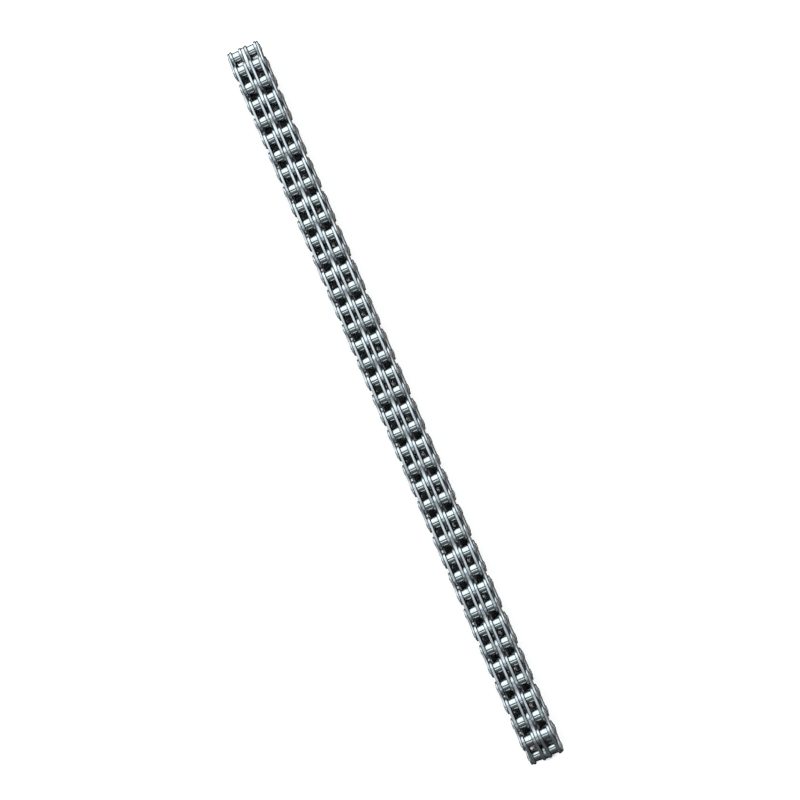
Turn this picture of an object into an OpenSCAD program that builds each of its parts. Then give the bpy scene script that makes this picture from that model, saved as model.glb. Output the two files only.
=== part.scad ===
// Endless duplex roller timing chain, folded flat so that its two runs lie one above the other.
// X runs along the chain, Y along the pins and Z up. The origin is under the middle of the loop,
// on the surface that the lower run rests on. All sizes are in millimetres.

/* [Loop] */
// Distance between two neighbouring pins
pitch = 9.525; // [9:0.005:14]
// Links in the whole loop, a multiple of four
link_count = 80; // [72:4:96]
// How far the end turns lean over, up at the -X end and down at the +X end, in degrees
turn_lean = 10; // [0:1:15]

/* [Rollers and bushes] */
// Outer diameter of a roller
roller_d = 6.35; // [5:0.05:7]
// Wall of a roller
roller_wall = 0.8; // [0.6:0.05:1]
// Chamfer round the two rims of a roller
roller_chamfer = 0.25; // [0.1:0.05:0.4]
// Wall of a bush
bush_wall = 0.6; // [0.5:0.05:0.8]
// Width between the two inner plates of a row
inner_w = 3.8; // [3:0.1:6]

/* [Plates] */
// Thickness of an inner plate
inner_plate_t = 1.3; // [1:0.05:1.8]
// Height of an inner plate, which has straight edges
inner_plate_h = 8.26; // [7.4:0.02:8.8]
// Thickness of an outer plate
outer_plate_t = 1.0; // [0.8:0.05:1.8]
// Thickness of the single plate between the two rows
centre_plate_t = 1.6; // [1.2:0.05:2]
// Height of an outer or centre plate at its eyes
outer_plate_h = 7.5; // [6.6:0.05:8]
// How far each edge of an outer or centre plate is drawn in at the waist
waist_depth = 0.55; // [0.3:0.05:0.9]

/* [Pins] */
// How far a riveted pin end stands out of the outer plate
pin_proud = 0.45; // [0.3:0.05:0.8]
// How much wider than the pin its riveted end is spread
rivet_spread = 0.5; // [0.3:0.05:0.8]
// Depth of the punch mark in a riveted end
punch_depth = 0.25; // [0.1:0.05:0.25]

/* [Clearances] */
// Radial running clearance of a pin in a bush and of a bush in a roller
run_gap = 0.05; // [0.03:0.01:0.08]
// Radial clearance of a press fit
press_gap = 0.01; // [0.005:0.005:0.02]
// Side clearance between neighbouring plates
side_gap = 0.11; // [0.08:0.01:0.15]
// Side clearance of a roller between its inner plates
roller_side_gap = 0.1; // [0.06:0.01:0.15]
// Clearance between the two inner links that fold together at an end turn
fold_gap = 0.3; // [0.2:0.05:0.6]

/* [Hidden] */
$fn = 48;
roller_id = roller_d - 2 * roller_wall;
bush_d = roller_id - 2 * run_gap;
bush_id = bush_d - 2 * bush_wall;
pin_d = bush_id - 2 * run_gap;
roller_len = inner_w - 2 * roller_side_gap;
bush_len = inner_w + 2 * inner_plate_t;
row_spacing = bush_len + centre_plate_t + 2 * side_gap;
plates_w = row_spacing + bush_len + 2 * side_gap + 2 * outer_plate_t;
// The waist is an arc that runs smoothly into the round eyes of the plate.
eye_r = outer_plate_h / 2;
waist_half_h = eye_r - waist_depth;
waist_r = (pow(pitch / 2, 2) + pow(waist_half_h, 2) - pow(eye_r, 2)) / (2 * waist_depth);
waist_share = eye_r / (eye_r + waist_r);
// Two links make each end turn, folded as far as the inner plates allow. The rest lie in two straight runs.
half_count = link_count / 2;
run_links = half_count - 2;
fold_angle = asin((inner_plate_h + fold_gap) / pitch);
steep_angle = fold_angle / 2 + turn_lean;
shallow_angle = fold_angle / 2 - turn_lean;
run_rise = pitch * (sin(steep_angle) + sin(shallow_angle));
run_shift = pitch * (cos(shallow_angle) - cos(steep_angle)) / 2;
// Links in the middle of each run are drawn two to a node.
nodes_per_half = 30;
pairs_per_half = half_count - nodes_per_half;
first_pair = (run_links - 2 * pairs_per_half) / 2;
plate_steel = [0.66, 0.68, 0.67];
side_steel = [0.55, 0.55, 0.52];
roller_steel = [0.74, 0.77, 0.77];
pin_steel = [0.6, 0.61, 0.6];

function is_outer(link) = link % 2 == 0;
function in_upper_half(link) = link >= half_count;
function place_in_half(link) = link % half_count;

// Direction of a link in degrees, from +X towards +Z, going round the loop.
function half_heading(place) =
    place < run_links ? 0 : place == run_links ? shallow_angle : 180 - steep_angle;
function heading(link) = half_heading(place_in_half(link)) + (in_upper_half(link) ? 180 : 0);

// First pin of a link, as seen from the middle of the loop; the upper half is the lower one turned over.
function half_pin(place) =
    place <= run_links
        ? [(place - run_links / 2) * pitch - run_shift, -run_rise / 2]
        : half_pin(run_links) + pitch * [cos(shallow_angle), sin(shallow_angle)];
function loop_pin(link) = half_pin(place_in_half(link)) * (in_upper_half(link) ? -1 : 1);

// Numbers of the nodes, their first links and their names.
function node_first(index) =
    let (place = index % nodes_per_half, start = index < nodes_per_half ? 0 : half_count)
    start + place + min(max(place - first_pair, 0), pairs_per_half);
function is_pair(index) =
    let (place = index % nodes_per_half)
    place >= first_pair && place < first_pair + pairs_per_half;
function two_digits(number) = number < 10 ? str("0", number) : str(number);
function node_name(index) =
    let (number = node_first(index) + 1)
    is_pair(index)
        ? str("link_pair_", two_digits(number), "_", two_digits(number + 1))
        : str(is_outer(node_first(index)) ? "outer_link_" : "inner_link_", two_digits(number));

NODES = [for (index = [0 : 2 * nodes_per_half - 1]) node_name(index)];

// Stands a flat outline up along the link, from y to y + thickness.
module plate(y, thickness)
    translate([0, y + thickness, 0])
        rotate([90, 0, 0])
            linear_extrude(thickness)
                children();

// Puts a round piece on one of a link's two pin axes, centred across the chain at y.
module on_axis(side, y = 0)
    translate([side * pitch, y, 0])
        rotate([90, 0, 0])
            children();

module two_eyes(radius)
    for (x = [0, pitch])
        translate([x, 0])
            circle(radius);

// A plate with straight edges and two holes for the bushes.
module inner_outline()
    difference() {
        union() {
            two_eyes(inner_plate_h / 2);
            translate([0, -inner_plate_h / 2])
                square([pitch, inner_plate_h]);
        }
        two_eyes(bush_d / 2 + press_gap);
    }

// A plate drawn in at the waist, with two holes for the pins.
module outer_outline()
    difference() {
        union() {
            two_eyes(eye_r);
            difference() {
                translate([0, -waist_share * (waist_half_h + waist_r)])
                    square([pitch, 2 * waist_share * (waist_half_h + waist_r)]);
                for (side = [-1, 1])
                    translate([pitch / 2, side * (waist_half_h + waist_r)])
                        circle(waist_r);
            }
        }
        two_eyes(pin_d / 2 + press_gap);
    }

module inner_plate(y)
    color(plate_steel)
        plate(y, inner_plate_t)
            inner_outline();

module outer_plate(y)
    color(side_steel)
        plate(y, outer_plate_t)
            outer_outline();

module centre_plate()
    color(side_steel)
        plate(-centre_plate_t / 2, centre_plate_t)
            outer_outline();

module bush(side, y)
    color(pin_steel)
        on_axis(side, y)
            difference() {
                cylinder(h = bush_len, d = bush_d, center = true);
                cylinder(h = bush_len + 1, d = bush_id, center = true);
            }

// A tube with chamfered rims, revolved from its wall.
module roller(side, y)
    color(roller_steel)
        on_axis(side, y)
            rotate_extrude()
                polygon([
                    [roller_id / 2, -roller_len / 2],
                    [roller_d / 2 - roller_chamfer, -roller_len / 2],
                    [roller_d / 2, -roller_len / 2 + roller_chamfer],
                    [roller_d / 2, roller_len / 2 - roller_chamfer],
                    [roller_d / 2 - roller_chamfer, roller_len / 2],
                    [roller_id / 2, roller_len / 2]
                ]);

// A pin with both ends spread over the outer plates and punched in the middle.
module pin(side)
    color(pin_steel)
        on_axis(side)
            difference() {
                union() {
                    cylinder(h = plates_w + 2 * pin_proud, d = pin_d, center = true);
                    for (end = [0, 180])
                        rotate([end, 0, 0])
                            translate([0, 0, plates_w / 2 + press_gap])
                                cylinder(h = pin_proud - press_gap, d1 = pin_d + rivet_spread, d2 = pin_d);
                }
                for (end = [0, 180])
                    rotate([end, 0, 0])
                        translate([0, 0, plates_w / 2 + pin_proud - punch_depth])
                            cylinder(h = 2 * punch_depth, d1 = 0, d2 = pin_d);
            }

// Two rows, each with two plates that hold two bushes and their rollers.
module inner_link()
    for (row = [-row_spacing / 2, row_spacing / 2]) {
        inner_plate(row - inner_w / 2 - inner_plate_t);
        inner_plate(row + inner_w / 2);
        for (side = [0, 1]) {
            bush(side, row);
            roller(side, row);
        }
    }

// Two pins with a plate at each end and one between the rows.
module outer_link() {
    outer_plate(-plates_w / 2);
    outer_plate(plates_w / 2 - outer_plate_t);
    centre_plate();
    pin(0);
    pin(1);
}

module chain_link(link)
    translate([loop_pin(link)[0], 0, loop_pin(link)[1] + run_rise / 2 + inner_plate_h / 2])
        rotate([0, -heading(link), 0])
            if (is_outer(link)) outer_link();
            else inner_link();

module chain_node(index) {
    chain_link(node_first(index));
    if (is_pair(index)) chain_link(node_first(index) + 1);
}

for (index = [0 : len(NODES) - 1])
    chain_node(index);
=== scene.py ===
import math

import bpy
from mathutils import Matrix, Vector


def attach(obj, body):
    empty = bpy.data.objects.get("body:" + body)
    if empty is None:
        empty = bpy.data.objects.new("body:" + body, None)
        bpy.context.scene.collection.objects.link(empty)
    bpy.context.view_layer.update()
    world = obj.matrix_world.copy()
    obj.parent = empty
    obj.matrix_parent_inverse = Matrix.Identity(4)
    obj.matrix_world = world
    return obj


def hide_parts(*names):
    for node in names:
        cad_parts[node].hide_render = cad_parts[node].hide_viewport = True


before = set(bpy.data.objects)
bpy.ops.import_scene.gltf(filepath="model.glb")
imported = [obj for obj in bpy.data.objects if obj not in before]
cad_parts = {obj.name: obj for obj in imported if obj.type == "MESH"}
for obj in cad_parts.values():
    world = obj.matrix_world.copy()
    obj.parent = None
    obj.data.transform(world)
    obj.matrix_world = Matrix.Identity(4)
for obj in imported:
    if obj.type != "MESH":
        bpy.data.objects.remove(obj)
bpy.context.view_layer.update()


# Inner plates and bushes: straight-edged plates, blanked from strip steel and tumbled until their rims
# are round. Each inner link has four, two to a row, and each pair is pressed on two short steel tubes,
# the bushes, which hold it square.
MM = 0.001
PITCH = 9.525 * MM
LINKS = 80
INNER_WIDTH = 3.8 * MM  # between the two inner plates of a row
INNER_THICK = 1.3 * MM
INNER_HEIGHT = 8.26 * MM
CENTRE_THICK = 1.6 * MM
SIDE_GAP = 0.11 * MM  # between neighbouring plates
ROW = (INNER_WIDTH + CENTRE_THICK) / 2 + INNER_THICK + SIDE_GAP  # from the middle to a row of rollers
BUSH_RADIUS = 2.325 * MM
BUSH_WALL = 0.57 * MM  # thin enough for its twelve-sided bore to clear the pins
BUSH_LENGTH = INNER_WIDTH + 2 * INNER_THICK
PRESS_GAP = 0.01 * MM
TINY = 0.002 * MM  # points closer than this are one point
PLATE_RIM = 0.26 * MM  # how far the rims are rounded
RIM_TURN = math.radians(60)  # edges that turn less than this look round
FLAT_FACING = 0.97  # the large faces of a plate point at least this much along Y
EYE_STEPS, BORE_STEPS, BUSH_SIDES = 6, 6, 12

# The loop lies folded flat: two straight runs and two links in each end turn.
HALF = LINKS // 2
RUN = HALF - 2
FOLD_GAP = 0.3 * MM
TURN_LEAN = math.radians(10)
FOLD = math.asin((INNER_HEIGHT + FOLD_GAP) / PITCH)
STEEP, SHALLOW = FOLD / 2 + TURN_LEAN, FOLD / 2 - TURN_LEAN
RUN_RISE = PITCH * (math.sin(STEEP) + math.sin(SHALLOW))
RUN_SHIFT = PITCH * (math.cos(SHALLOW) - math.cos(STEEP)) / 2

node_of = {int(word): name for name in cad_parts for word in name.split("_") if word.isdigit()}


def link_place(number):
    """Carries a link from the origin, where its middle is modelled, to its place in the loop."""
    place = (number - 1) % HALF
    angle, start = 0.0, Vector(((min(place, RUN) - RUN / 2) * PITCH - RUN_SHIFT, 0, -RUN_RISE / 2))
    if place == RUN:
        angle = SHALLOW
    elif place > RUN:
        angle = math.pi - STEEP
        start += PITCH * Vector((math.cos(SHALLOW), 0, math.sin(SHALLOW)))
    middle = start + PITCH / 2 * Vector((math.cos(angle), 0, math.sin(angle)))
    laid = Matrix.Translation(middle) @ Matrix.Rotation(-angle, 4, "Y")
    if number > HALF:
        laid = Matrix.Rotation(math.pi, 4, "Y") @ laid
    return Matrix.Translation((0, 0, (RUN_RISE + INNER_HEIGHT) / 2)) @ laid


def fit_to_links(pattern, name, first):
    """Copies a finished set of pieces to every second link of the loop, and removes the set itself."""
    for number in range(first, LINKS + 1, 2):
        piece = pattern.copy()
        piece.data = pattern.data.copy()
        piece.name = piece.data.name = f"{name}_{number:02d}"
        piece.data.transform(link_place(number))
        bpy.context.collection.objects.link(piece)
        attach(piece, node_of[number])
        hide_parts(node_of[number])
    bpy.data.objects.remove(pattern)


def start_drawing(x, y, z):
    """One point to draw an outline from, in edit mode."""
    if bpy.context.mode != "OBJECT":
        bpy.ops.object.mode_set(mode="OBJECT")
    bpy.ops.object.select_all(action="DESELECT")
    bpy.ops.mesh.primitive_plane_add(size=MM)
    drawn = bpy.context.object
    bpy.context.tool_settings.mesh_select_mode = (True, False, False)
    bpy.ops.object.mode_set(mode="EDIT")
    bpy.ops.mesh.select_all(action="SELECT")
    bpy.ops.mesh.merge(type="CENTER")
    bpy.ops.transform.translate(value=(x, y, z))
    return drawn


def draw_by(dx, dy, dz):
    bpy.ops.mesh.extrude_vertices_move(TRANSFORM_OT_translate={"value": (dx, dy, dz)})


def sweep_about(x, y, z, degrees, steps):
    """Draws an arc on from the last point, from +X towards +Z about a pin axis."""
    bpy.ops.mesh.spin(steps=steps, angle=math.radians(degrees), center=(x, y, z), axis=(0, 1, 0))


def pick(drawn, kind, wanted):
    """Leaves only the wanted faces or edges selected, in edit mode."""
    bpy.ops.object.mode_set(mode="OBJECT")
    mesh = drawn.data
    for part in (*mesh.vertices, *mesh.edges, *mesh.polygons):
        part.select = False
    if kind == "FACE":
        for face in mesh.polygons:
            face.select = wanted(face.center, face.normal)
    else:
        for edge in mesh.edges:
            edge.select = wanted(*(mesh.vertices[i].co for i in edge.vertices))
    bpy.context.tool_settings.mesh_select_mode = (False, kind == "EDGE", kind == "FACE")
    bpy.ops.object.mode_set(mode="EDIT")


def use_modifier(drawn, kind, **settings):
    bpy.ops.object.mode_set(mode="OBJECT")
    made = drawn.modifiers.new(kind.lower(), kind)
    for key, value in settings.items():
        setattr(made, key, value)
    bpy.context.view_layer.objects.active = drawn
    bpy.ops.object.modifier_apply(modifier=made.name)


def smooth_rims(drawn):
    """Smooth shading that lets the large faces stay flat and the rims between them look round."""
    bpy.ops.object.mode_set(mode="OBJECT")
    bpy.ops.object.shade_smooth_by_angle(angle=RIM_TURN)
    use_modifier(drawn, "WEIGHTED_NORMAL", keep_sharp=True)


def close_and_turn_out(drawn):
    bpy.ops.object.mode_set(mode="EDIT")
    bpy.ops.mesh.select_all(action="SELECT")
    bpy.ops.mesh.remove_doubles(threshold=TINY)
    bpy.ops.mesh.normals_make_consistent(inside=False)
    bpy.ops.object.mode_set(mode="OBJECT")


def plate_from_quarter(drawn, thick, bore, rim):
    """Fills the drawn quarter of a plate, gives it its thickness, mirrors it and rounds its rims."""
    bpy.ops.mesh.select_all(action="SELECT")
    bpy.ops.mesh.remove_doubles(threshold=TINY)
    bpy.ops.mesh.edge_face_add()
    bpy.ops.mesh.extrude_region_move(TRANSFORM_OT_translate={"value": (0, thick, 0)})
    pick(drawn, "FACE", lambda at, facing: at.x < TINY or at.z < TINY)
    bpy.ops.mesh.delete(type="FACE")
    use_modifier(drawn, "MIRROR", use_axis=(True, False, True), use_clip=False, merge_threshold=TINY)
    close_and_turn_out(drawn)

    def on_rim(a, b):
        off = [math.hypot(abs(p.x) - PITCH / 2, p.z) for p in (a, b)]
        on_middle_line = all(abs(p.x) < TINY or abs(p.z) < TINY for p in (a, b))
        return abs(a.y - b.y) < TINY and min(off) > bore + TINY and not (on_middle_line and (a - b).length > MM)

    pick(drawn, "EDGE", on_rim)
    bpy.ops.mesh.bevel(offset=rim, offset_type="OFFSET", segments=1, affect="EDGES")
    smooth_rims(drawn)
    for face in drawn.data.polygons:
        face.material_index = int(abs(face.normal.y) < FLAT_FACING)


def copy_to(drawn, places):
    """Sets of one piece: a copy at each place, joined as one object, in place of the first."""
    copies = []
    for place in places:
        made = drawn.copy()
        made.data = drawn.data.copy()
        made.data.transform(Matrix.Translation(place))
        bpy.context.collection.objects.link(made)
        copies.append(made)
    bpy.data.objects.remove(drawn)
    return join(copies)


def join(pieces):
    bpy.ops.object.select_all(action="DESELECT")
    for piece in pieces:
        piece.select_set(True)
    bpy.context.view_layer.objects.active = pieces[0]
    bpy.ops.object.join()
    return bpy.context.object


class Finish:
    """A steel finish, put together from patterns in the object's own coordinates."""

    LOW, HIGH = 0.3, 0.7  # between these lies nearly all of a noise pattern

    def __init__(self, name):
        self.material = bpy.data.materials.new(name)
        self.material.use_nodes = True
        self.nodes, self.links = self.material.node_tree.nodes, self.material.node_tree.links
        self.shader = self.nodes["Principled BSDF"]
        self.shader.inputs["Metallic"].default_value = 1.0
        self.place = self.nodes.new("ShaderNodeTexCoord").outputs["Object"]

    def pattern(self, stretch, detail=3.0, rough=0.55):
        """Noise with stretch waves to the metre along X, Y and Z."""
        turned, noise = self.nodes.new("ShaderNodeMapping"), self.nodes.new("ShaderNodeTexNoise")
        turned.inputs["Scale"].default_value = stretch
        noise.inputs["Scale"].default_value = 1.0
        noise.inputs["Detail"].default_value = detail
        noise.inputs["Roughness"].default_value = rough
        self.links.new(self.place, turned.inputs["Vector"])
        self.links.new(turned.outputs["Vector"], noise.inputs["Vector"])
        return noise.outputs["Fac"]

    def tint(self, pattern, *stops):
        """Colours the metal by a pattern, from stops of (pattern value, colour)."""
        ramp = self.nodes.new("ShaderNodeValToRGB")
        band = ramp.color_ramp
        while len(band.elements) < len(stops):
            band.elements.new(0.5)
        for element, (at, colour) in zip(band.elements, stops):
            element.position, element.color = at, (*colour, 1.0)
        self.links.new(pattern, ramp.inputs["Fac"])
        self.links.new(ramp.outputs["Color"], self.shader.inputs["Base Color"])

    def gloss(self, pattern, smooth, dull):
        spread = self.nodes.new("ShaderNodeMapRange")
        spread.inputs["From Min"].default_value, spread.inputs["From Max"].default_value = self.LOW, self.HIGH
        spread.inputs["To Min"].default_value, spread.inputs["To Max"].default_value = smooth, dull
        self.links.new(pattern, spread.inputs["Value"])
        self.links.new(spread.outputs["Result"], self.shader.inputs["Roughness"])

    def marks(self, pattern, depth, strength):
        bump = self.nodes.new("ShaderNodeBump")
        bump.inputs["Distance"].default_value = depth
        bump.inputs["Strength"].default_value = strength
        self.links.new(pattern, bump.inputs["Height"])
        self.links.new(bump.outputs["Normal"], self.shader.inputs["Normal"])


inner_face = Finish("inner_plate_satin")
inner_face.tint(
    inner_face.pattern((260, 260, 260), 5.0),
    (0.34, (0.10, 0.10, 0.11)), (0.52, (0.17, 0.17, 0.18)), (0.70, (0.25, 0.25, 0.25)),
)
inner_face.gloss(inner_face.pattern((1900, 1900, 1900)), 0.24, 0.42)
inner_face.marks(inner_face.pattern((500, 500, 9000), 2.0), 0.02 * MM, 0.35)

blanked_edge = Finish("blanked_edge")
blanked_edge.tint(
    blanked_edge.pattern((180, 420, 180), 4.0),
    (0.32, (0.44, 0.47, 0.50)), (0.50, (0.56, 0.60, 0.63)), (0.68, (0.68, 0.72, 0.74)),
)
blanked_edge.gloss(blanked_edge.pattern((1500, 500, 1500)), 0.26, 0.4)
blanked_edge.marks(blanked_edge.pattern((7000, 600, 7000), 2.0), 0.02 * MM, 0.3)

bush_steel = Finish("bush_steel")
bush_steel.tint(
    bush_steel.pattern((400, 400, 400), 4.0),
    (0.35, (0.22, 0.21, 0.20)), (0.65, (0.34, 0.34, 0.33)),
)
bush_steel.gloss(bush_steel.pattern((800, 5000, 800)), 0.2, 0.38)
bush_steel.marks(bush_steel.pattern((300, 9000, 300), 2.0), 0.02 * MM, 0.25)

inner_eye = INNER_HEIGHT / 2
bush_bore = BUSH_RADIUS + PRESS_GAP
inner_plate = start_drawing(PITCH / 2 + inner_eye, 0, 0)
sweep_about(PITCH / 2, 0, 0, 90, EYE_STEPS)
draw_by(-PITCH / 2, 0, 0)
draw_by(0, 0, -inner_eye)
draw_by(PITCH / 2 - bush_bore, 0, 0)
sweep_about(PITCH / 2, 0, 0, -180, BORE_STEPS)
draw_by(inner_eye - bush_bore, 0, 0)
plate_from_quarter(inner_plate, INNER_THICK, bush_bore, PLATE_RIM)
for finish in (inner_face, blanked_edge):
    inner_plate.data.materials.append(finish.material)
inner_plates = copy_to(
    inner_plate,
    [(0, side * ROW + y, 0) for side in (-1, 1) for y in (-INNER_WIDTH / 2 - INNER_THICK, INNER_WIDTH / 2)],
)


def tube(radius, wall, length, sides):
    """A tube about a link's +X pin axis, centred across the chain."""
    bpy.ops.object.select_all(action="DESELECT")
    bpy.ops.mesh.primitive_cylinder_add(
        vertices=sides, radius=radius, depth=length, end_fill_type="NOTHING",
        location=(PITCH / 2, 0, 0), rotation=(math.pi / 2, math.pi / sides, 0),
    )
    drawn = bpy.context.object
    bpy.ops.object.transform_apply(location=True, rotation=True, scale=True)
    use_modifier(drawn, "SOLIDIFY", thickness=wall, offset=-1.0, use_rim=True)
    return drawn


PIN_PLACES = [(x, side * ROW, 0) for x in (0, -PITCH) for side in (-1, 1)]
bush = tube(BUSH_RADIUS, BUSH_WALL, BUSH_LENGTH, BUSH_SIDES)
close_and_turn_out(bush)
smooth_rims(bush)
bush.data.materials.append(bush_steel.material)
bushes = copy_to(bush, PIN_PLACES)
fit_to_links(join([inner_plates, bushes]), "inner_plates", 2)


# Rollers: seamless hardened steel tubes with chamfered rims, ground bright. Four of them run loose on the
# bushes of each inner link, between its plates, and roll on the teeth of the sprockets.
ROLLER_RADIUS = 3.175 * MM
ROLLER_WALL = 0.8 * MM
ROLLER_SIDE_GAP = 0.1 * MM
ROLLER_LENGTH = INNER_WIDTH - 2 * ROLLER_SIDE_GAP
ROLLER_CHAMFER = 0.25 * MM
ROLLER_SIDES = 16

roller_polish = Finish("roller_polish")
roller_polish.tint(
    roller_polish.pattern((300, 900, 300), 4.0),
    (0.34, (0.46, 0.49, 0.50)), (0.50, (0.54, 0.57, 0.58)), (0.66, (0.62, 0.65, 0.66)),
)
roller_polish.gloss(roller_polish.pattern((500, 3500, 500)), 0.05, 0.1)
roller_polish.marks(roller_polish.pattern((150, 8000, 150), 2.0), 0.02 * MM, 0.2)

roller = tube(ROLLER_RADIUS, ROLLER_WALL, ROLLER_LENGTH, ROLLER_SIDES)
pick(
    roller, "EDGE",
    lambda a, b: abs(a.y - b.y) < TINY
    and all(math.hypot(p.x - PITCH / 2, p.z) > ROLLER_RADIUS - ROLLER_WALL / 2 for p in (a, b)),
)
bpy.ops.mesh.bevel(offset=ROLLER_CHAMFER, offset_type="OFFSET", segments=1, affect="EDGES")
close_and_turn_out(roller)
smooth_rims(roller)
roller.data.materials.append(roller_polish.material)
fit_to_links(copy_to(roller, PIN_PLACES), "rollers", 2)


# Outer and centre plates: blanked plates that are drawn in at the waist between two round eyes. Each
# outer link has one on each side of the chain and a thicker one between the rows, pressed on its two pins.
OUTER_THICK = 1.0 * MM
OUTER_HEIGHT = 7.5 * MM
WAIST_DEPTH = 0.55 * MM
PIN_RADIUS = 1.675 * MM
PLATES_WIDTH = 2 * (ROW + BUSH_LENGTH / 2 + SIDE_GAP + OUTER_THICK)
WAIST_STEPS = 3

# The dark brown of the large faces of the outer and centre plates is a painted reflection. It stands for the
# dark surroundings these faces mirror, and is painted into their colour rather than being a finish of the
# steel.
outer_face_painted_dark = Finish("outer_plate_painted_dark")
outer_face_painted_dark.shader.inputs["Metallic"].default_value = 0.8
outer_face_painted_dark.shader.inputs["Specular IOR Level"].default_value = 0.2
outer_face_painted_dark.tint(
    outer_face_painted_dark.pattern((230, 230, 230), 6.0),
    (0.32, (0.10, 0.08, 0.072)), (0.50, (0.16, 0.13, 0.118)), (0.70, (0.24, 0.20, 0.185)),
)
outer_face_painted_dark.gloss(outer_face_painted_dark.pattern((1600, 1600, 1600)), 0.36, 0.56)
outer_face_painted_dark.marks(outer_face_painted_dark.pattern((400, 400, 8000), 2.0), 0.02 * MM, 0.4)


def waisted_plate(thick):
    eye, bore = OUTER_HEIGHT / 2, PIN_RADIUS + PRESS_GAP
    waist = eye - WAIST_DEPTH
    waist_radius = ((PITCH / 2) ** 2 + waist**2 - eye**2) / (2 * WAIST_DEPTH)
    waist_turn = math.degrees(math.atan2(PITCH / 2, waist + waist_radius))
    plate = start_drawing(PITCH / 2 + eye, 0, 0)
    sweep_about(PITCH / 2, 0, 0, 90 + waist_turn, EYE_STEPS)
    sweep_about(0, 0, waist + waist_radius, -waist_turn, WAIST_STEPS)
    draw_by(0, 0, -waist)
    draw_by(PITCH / 2 - bore, 0, 0)
    sweep_about(PITCH / 2, 0, 0, -180, BORE_STEPS)
    draw_by(eye - bore, 0, 0)
    plate_from_quarter(plate, thick, bore, PLATE_RIM)
    for finish in (outer_face_painted_dark, blanked_edge):
        plate.data.materials.append(finish.material)
    return plate


outer_plates = copy_to(
    waisted_plate(OUTER_THICK), [(0, y, 0) for y in (-PLATES_WIDTH / 2, PLATES_WIDTH / 2 - OUTER_THICK)]
)
centre_plate = waisted_plate(CENTRE_THICK)
centre_plate.data.transform(Matrix.Translation((0, -CENTRE_THICK / 2, 0)))
fit_to_links(join([outer_plates, centre_plate]), "outer_plates", 1)


# Pins: hardened steel pins through both rows. Their ends are spread over the outer plates and punched in
# the middle, which rivets the outer link together for good.
PIN_PROUD = 0.45 * MM
RIVET_SPREAD = 0.25 * MM
PUNCH_RADIUS, PUNCH_DEPTH = 0.84 * MM, 0.25 * MM
END_BREAK, END_FALL = 0.16 * MM, 0.1 * MM  # how the end's rim is broken, inwards and down
PIN_TURN = math.radians(35)  # edges of a pin that turn less than this look round
PIN_SIDES = 12

riveted_steel = Finish("riveted_steel")
riveted_steel.tint(
    riveted_steel.pattern((700, 700, 700), 4.0),
    (0.34, (0.32, 0.32, 0.32)), (0.52, (0.46, 0.46, 0.45)), (0.68, (0.58, 0.58, 0.56)),
)
riveted_steel.gloss(riveted_steel.pattern((2200, 2200, 2200)), 0.2, 0.4)
riveted_steel.marks(riveted_steel.pattern((2600, 2600, 2600), 2.0), 0.03 * MM, 0.4)

pin_end = PLATES_WIDTH / 2 + PIN_PROUD
pin = start_drawing(PITCH / 2, pin_end - PUNCH_DEPTH, 0)
draw_by(PUNCH_RADIUS, PUNCH_DEPTH, 0)
draw_by(PIN_RADIUS - END_BREAK - PUNCH_RADIUS, 0, 0)
draw_by(END_BREAK, -END_FALL, 0)
draw_by(RIVET_SPREAD, END_FALL - PIN_PROUD + PRESS_GAP, 0)
draw_by(-RIVET_SPREAD, 0, 0)
draw_by(0, -PLATES_WIDTH / 2 - PRESS_GAP, 0)
bpy.ops.mesh.select_all(action="SELECT")
bpy.ops.mesh.spin(steps=PIN_SIDES, angle=2 * math.pi, center=(PITCH / 2, 0, 0), axis=(0, 1, 0))
use_modifier(pin, "MIRROR", use_axis=(False, True, False), merge_threshold=TINY)
close_and_turn_out(pin)
bpy.ops.object.shade_smooth_by_angle(angle=PIN_TURN)
pin.data.materials.append(riveted_steel.material)
fit_to_links(copy_to(pin, [(0, 0, 0), (-PITCH, 0, 0)]), "pins", 1)


# Floor: a plain matt table top that the lower run rests on. It is a light grey that the lamps make pale,
# and the steel doesn't mirror it, because a white table would wash out the dark gaps between the links.
FLOOR_SIZE, FLOOR_DROP = 3.0, 0.02 * MM
FLOOR_GREY = (0.36, 0.36, 0.36, 1.0)

bpy.ops.object.select_all(action="DESELECT")
bpy.ops.mesh.primitive_plane_add(size=FLOOR_SIZE, location=(0, 0, -FLOOR_DROP))
floor = bpy.context.object
floor.name = "floor"
pale_top = bpy.data.materials.new("pale_table_top")
pale_top.use_nodes = True
table_shader = pale_top.node_tree.nodes["Principled BSDF"]
table_shader.inputs["Base Color"].default_value = FLOOR_GREY
table_shader.inputs["Roughness"].default_value = 0.8
table_shader.inputs["Specular IOR Level"].default_value = 0.0
floor.data.materials.append(pale_top)
floor.visible_glossy = False


# Light: a soft tent, bright over the far end of the chain and dim over the near end, with a dark slot and a
# light line between, a dark bench below and a grey glow from both sides, all as the steel mirrors them. Two
# soft lamps, one on each side of the chain, light the table top evenly.
SKY_STRENGTH = 1.85
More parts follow.
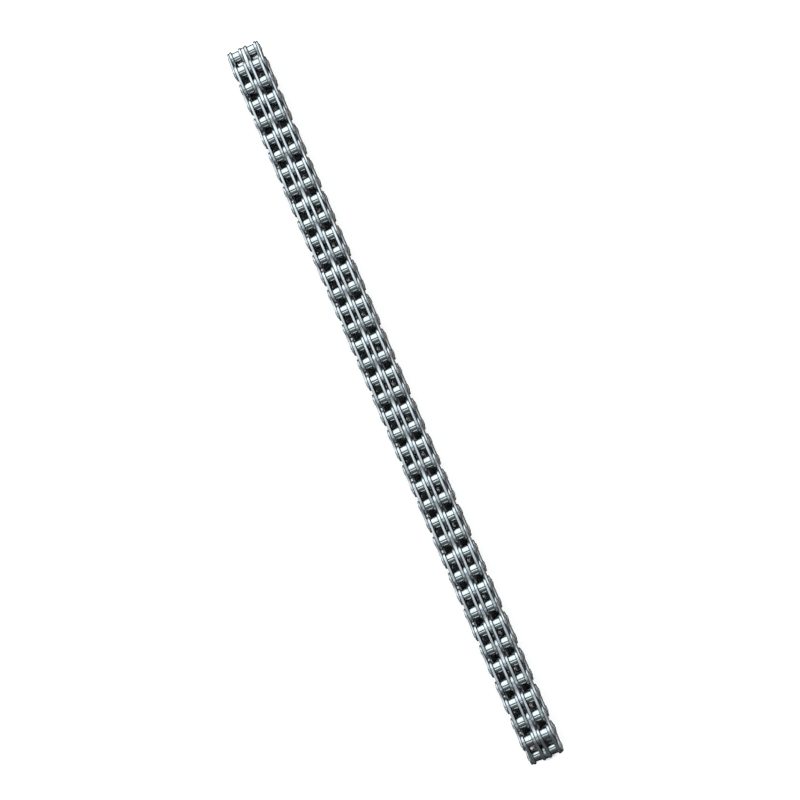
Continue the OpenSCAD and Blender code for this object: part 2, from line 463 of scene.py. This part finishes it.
# Colours of the tent by direction: the sky along X, the bench along Z, and how far the sides reach along Y.
SKY = (
    (-1.0, (0.93, 1.0, 1.0)), (-0.50, (0.92, 0.99, 1.0)), (-0.12, (0.72, 0.79, 0.81)),
    (-0.08, (0.02, 0.025, 0.03)), (0.22, (0.02, 0.025, 0.03)),
    (0.26, (0.84, 0.92, 0.92)), (0.42, (0.72, 0.79, 0.79)),
    (0.50, (0.15, 0.175, 0.185)), (0.90, (0.05, 0.06, 0.065)), (1.0, (0.03, 0.03, 0.03)),
)
BENCH = (
    (-1.0, (0.005, 0.005, 0.006)), (-0.45, (0.006, 0.006, 0.007)),
    (-0.25, (0.03, 0.026, 0.024)), (0.0, (0.10, 0.084, 0.078)),
)
SIDE_GLOW = (0.28, 0.30, 0.31, 1.0)
SIDE_REACH = (
    (-0.88, (1.0, 1.0, 1.0)), (-0.55, (0.0, 0.0, 0.0)), (0.55, (0.0, 0.0, 0.0)), (0.88, (1.0, 1.0, 1.0)),
)
HORIZON = 0.04  # the sky and the bench run together this far above and below
BACKDROP = (1.0, 1.0, 1.0, 1.0)
world = bpy.data.worlds.new("soft_sky")
bpy.context.scene.world = world
world.use_nodes = True
sky_nodes, sky_links = world.node_tree.nodes, world.node_tree.links
looking, parts = sky_nodes.new("ShaderNodeTexCoord"), sky_nodes.new("ShaderNodeSeparateXYZ")
sky_links.new(looking.outputs["Generated"], parts.inputs["Vector"])


def shaded_along(axis, stops):
    """The colour of the surroundings by how far a direction points along an axis."""
    reach, shade = sky_nodes.new("ShaderNodeMapRange"), sky_nodes.new("ShaderNodeValToRGB")
    reach.inputs["From Min"].default_value = -1.0
    while len(shade.color_ramp.elements) < len(stops):
        shade.color_ramp.elements.new(0.5)
    for element, (at, colour) in zip(shade.color_ramp.elements, stops):
        element.position, element.color = (at + 1) / 2, (*colour, 1.0)
    sky_links.new(parts.outputs[axis], reach.inputs["Value"])
    sky_links.new(reach.outputs["Result"], shade.inputs["Fac"])
    return shade.outputs["Color"]


horizon, halves = sky_nodes.new("ShaderNodeMapRange"), sky_nodes.new("ShaderNodeMixRGB")
horizon.inputs["From Min"].default_value, horizon.inputs["From Max"].default_value = -HORIZON, HORIZON
sky_links.new(parts.outputs["Z"], horizon.inputs["Value"])
sky_links.new(horizon.outputs["Result"], halves.inputs["Fac"])
sky_links.new(shaded_along("Z", BENCH), halves.inputs["Color1"])
sky_links.new(shaded_along("X", SKY), halves.inputs["Color2"])
sides = sky_nodes.new("ShaderNodeMixRGB")
sides.inputs["Color2"].default_value = SIDE_GLOW
sky_links.new(shaded_along("Y", SIDE_REACH), sides.inputs["Fac"])
sky_links.new(halves.outputs["Color"], sides.inputs["Color1"])
sky_links.new(sides.outputs["Color"], sky_nodes["Background"].inputs["Color"])
sky_nodes["Background"].inputs["Strength"].default_value = SKY_STRENGTH
backdrop, seen = sky_nodes.new("ShaderNodeBackground"), sky_nodes.new("ShaderNodeLightPath")
backdrop.inputs["Color"].default_value = BACKDROP
shown = sky_nodes.new("ShaderNodeMixShader")
sky_links.new(seen.outputs["Is Camera Ray"], shown.inputs["Fac"])
sky_links.new(sky_nodes["Background"].outputs["Background"], shown.inputs[1])
sky_links.new(backdrop.outputs["Background"], shown.inputs[2])
sky_links.new(shown.outputs["Shader"], sky_nodes["World Output"].inputs["Surface"])
bpy.context.scene.view_settings.view_transform = "Standard"

LAMP_SIZE, LAMP_OUT, LAMP_HEIGHT, LAMP_POWER = 1.2, 1.8, 1.8, 210.0
for side, name in ((-1, "left_lamp"), (1, "right_lamp")):
    lamp = bpy.data.objects.new(name, bpy.data.lights.new(name, "AREA"))
    lamp.data.size, lamp.data.energy = LAMP_SIZE, LAMP_POWER
    lamp.location = (0, side * LAMP_OUT, LAMP_HEIGHT)
    lamp.rotation_euler = (-lamp.location).to_track_quat("-Z", "Y").to_euler()
    lamp.visible_glossy = lamp.visible_camera = False
    bpy.context.collection.objects.link(lamp)


# Camera: high above the chain, a little past its near end and to its right, and turned so that the chain
# runs from the upper left to the lower right.
CAMERA_TARGET = Vector((4.41, 2.92, 10.0)) * MM
CAMERA_DISTANCE = 1393.7 * MM
CAMERA_TOWARDS_END, CAMERA_TOWARDS_SIDE = math.radians(10.365), math.radians(5.7)
CAMERA_ROLL = math.radians(23.252)
CAMERA_LENS, CAMERA_SENSOR = 127.95, 36.0  # in millimetres, as Blender takes them

back = Vector((math.tan(CAMERA_TOWARDS_END), math.tan(CAMERA_TOWARDS_SIDE), 1)).normalized()
along_chain = (Vector((1, 0, 0)) - back.x * back).normalized()
across_chain = back.cross(along_chain)
right = math.sin(CAMERA_ROLL) * along_chain + math.cos(CAMERA_ROLL) * across_chain
up = -math.cos(CAMERA_ROLL) * along_chain + math.sin(CAMERA_ROLL) * across_chain
camera = bpy.data.objects.new("camera", bpy.data.cameras.new("camera"))
camera.data.lens, camera.data.sensor_width = CAMERA_LENS, CAMERA_SENSOR
camera.data.clip_start, camera.data.clip_end = 0.05, 50.0
turned = Matrix((right, up, back)).transposed().to_4x4()
camera.matrix_world = Matrix.Translation(CAMERA_TARGET + CAMERA_DISTANCE * back) @ turned
bpy.context.collection.objects.link(camera)
bpy.context.scene.camera = camera
